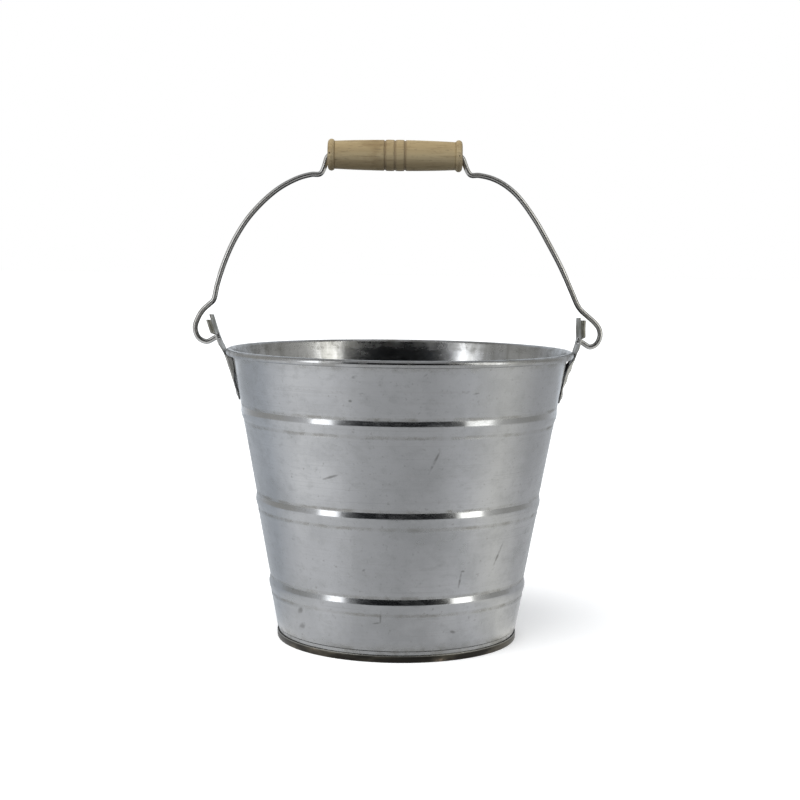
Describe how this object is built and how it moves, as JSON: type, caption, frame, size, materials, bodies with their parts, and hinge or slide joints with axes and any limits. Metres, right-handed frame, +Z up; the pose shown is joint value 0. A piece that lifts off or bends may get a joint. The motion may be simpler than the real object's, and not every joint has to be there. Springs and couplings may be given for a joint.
{
  "type": "florist bucket",
  "caption": "Tapered galvanised florist bucket with a wired rim, swaged beads, a recessed bottom, riveted bail ears and a swinging wire bail with a turned wooden grip.",
  "frame": {"origin": "centre of the foot, on the surface that the bucket stands on", "axes": "+Z up along the bucket's axis, X through both ears and along the bail's pivot, +Y towards the wall's lock seam, -Y to the front"},
  "size_m": [0.2481, 0.21, 0.3011],
  "materials": {
    "zinc_sheet": "smooth bright galvanised sheet steel with faint level brushing, fine scratches and dull smudges",
    "zinc_ear": "pressed galvanised sheet steel, a little duller and warmer than the wall",
    "tarnished_zinc": "dark tarnished galvanised sheet steel with brown patches",
    "zinc_wire": "zinc-plated drawn steel wire with a satin shine",
    "raw_wood": "unvarnished pale turned wood with fine grain along its length"
  },
  "bodies": {
    "bucket": {"bucket_wall": "zinc_sheet", "rim_wire": "zinc_wire", "bottom_plate": "tarnished_zinc", "ear_right": "zinc_ear", "ear_left": "zinc_ear", "rivet_right_front": "zinc_wire", "rivet_right_rear": "zinc_wire", "rivet_left_rear": "zinc_wire", "rivet_left_front": "zinc_wire"},
    "bail": {"bail_wire": "zinc_wire"},
    "grip": {"wooden_grip": "raw_wood"}
  },
  "joints": [
    {"name": "bail_swing", "type": "hinge", "parent": "bucket", "child": "bail", "pos_m": [0, 0, 0.182], "axis": [1, 0, 0], "range_deg": [-89, 89]},
    {"name": "grip_spin", "type": "hinge", "parent": "bail", "child": "grip", "pos_m": [-0.0043, 0, 0.2916], "axis": [1, 0, 0], "continuous": true}
  ]
}
